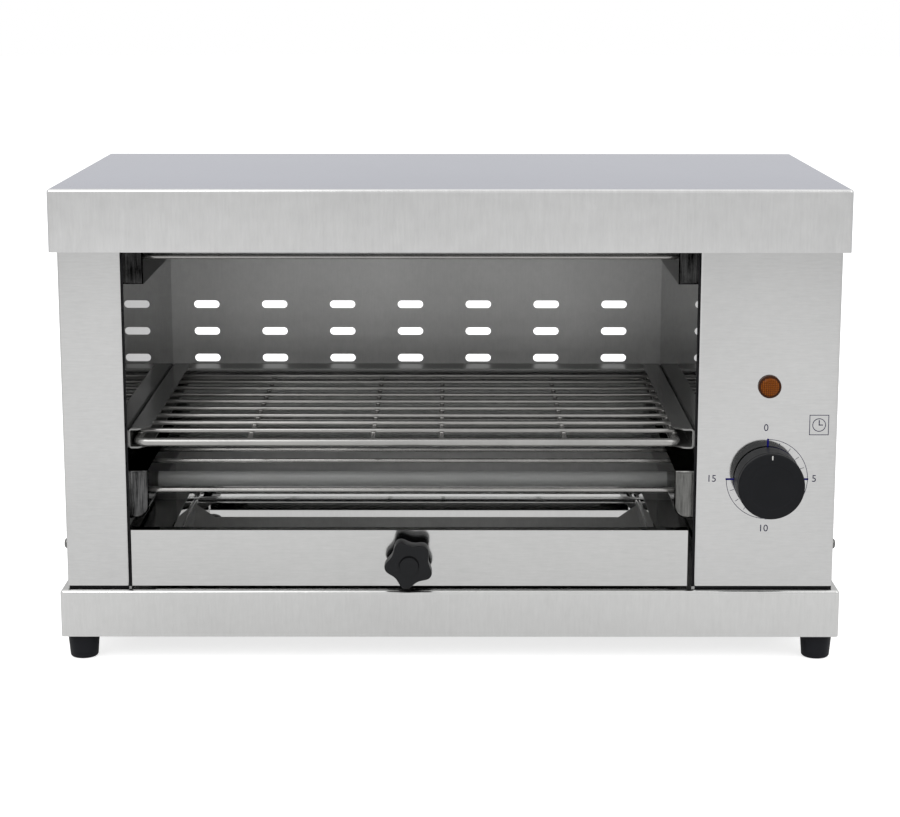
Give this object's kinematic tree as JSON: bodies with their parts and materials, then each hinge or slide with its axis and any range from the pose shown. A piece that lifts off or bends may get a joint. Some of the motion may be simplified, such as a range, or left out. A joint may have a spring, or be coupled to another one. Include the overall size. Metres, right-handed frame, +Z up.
{
  "type": "commercial toaster",
  "caption": "Counter-top toaster oven with quartz heaters over and under a slide-in wire rack, a pull-out crumb tray, a turn timer and a pilot lamp.",
  "frame": {"origin": "middle of the whole object's footprint, on the surface that its feet stand on", "axes": "+Z up, the front with the knobs faces -Y, +X to the right of someone standing in front"},
  "size_m": [0.4758, 0.2726, 0.2903],
  "materials": {
    "brushed_stainless": "fine straight brushing",
    "bright_stainless": "bright annealed sheet, near mirror",
    "polished_wire": "polished wire",
    "plated_steel": "bright zinc plate",
    "quartz": "milky translucent quartz",
    "heating_wire": "oxidised resistance alloy",
    "ceramic": "unglazed, cream",
    "knob_black": "fine satin",
    "lamp_amber": "faceted, glossy",
    "lamp_black": "satin",
    "timer_case": "satin",
    "gland_black": "satin",
    "foot_rubber": "matte",
    "silicone_lead": "matte"
  },
  "bodies": {
    "frame": {"hood": "brushed_stainless", "hood_studs": "plated_steel", "left_casing": "brushed_stainless", "control_casing": "brushed_stainless", "casing_tabs": "plated_steel", "side_screws": "plated_steel", "rear_screws": "plated_steel", "base_pan": "brushed_stainless", "foot_bolts": "plated_steel", "foot_front_left": "foot_rubber", "foot_front_right": "foot_rubber", "foot_rear_left": "foot_rubber", "foot_rear_right": "foot_rubber", "left_liner": "bright_stainless", "right_liner": "bright_stainless", "cavity_roof": "bright_stainless", "rear_wall": "bright_stainless", "left_rail": "bright_stainless", "right_rail": "bright_stainless", "rear_ledge": "bright_stainless", "lower_left_bracket": "bright_stainless", "lower_right_bracket": "bright_stainless", "upper_left_bracket": "bright_stainless", "upper_right_bracket": "bright_stainless", "lower_guard": "polished_wire", "upper_guard": "polished_wire", "lower_front_tube": "quartz", "lower_rear_tube": "quartz", "upper_front_tube": "quartz", "upper_rear_tube": "quartz", "lower_front_element": "heating_wire", "lower_rear_element": "heating_wire", "upper_front_element": "heating_wire", "upper_rear_element": "heating_wire", "left_end_caps": "ceramic", "right_end_caps": "ceramic", "left_terminals": "plated_steel", "right_terminals": "plated_steel", "timer_body": "timer_case", "timer_nut": "plated_steel", "lamp_body": "lamp_black", "lamp_lens": "lamp_amber", "lamp_clip": "lamp_black", "cable_gland": "gland_black", "gland_locknut": "gland_black", "terminal_block": "ceramic", "earth_stud": "plated_steel", "left_jumpers": "silicone_lead", "wiring_harness": "silicone_lead"},
    "rack": {"wire_rack": "polished_wire"},
    "crumb_drawer": {"crumb_tray": "bright_stainless", "tray_front": "brushed_stainless", "star_knob": "knob_black", "knob_bolt": "plated_steel", "knob_cap": "knob_black"},
    "timer_dial": {"timer_knob": "knob_black", "timer_shaft": "plated_steel"}
  },
  "joints": [
    {"name": "rack_slide", "type": "slide", "parent": "frame", "child": "rack", "axis": [0, -1, 0], "range_m": [0, 0.2]},
    {"name": "tray_slide", "type": "slide", "parent": "frame", "child": "crumb_drawer", "axis": [0, -1, 0], "range_m": [0, 0.2]},
    {"name": "timer_turn", "type": "hinge", "parent": "frame", "child": "timer_dial", "pos_m": [0.1922, -0.11475, 0.1138], "axis": [0, 1, 0], "range_deg": [0, 270]}
  ]
}
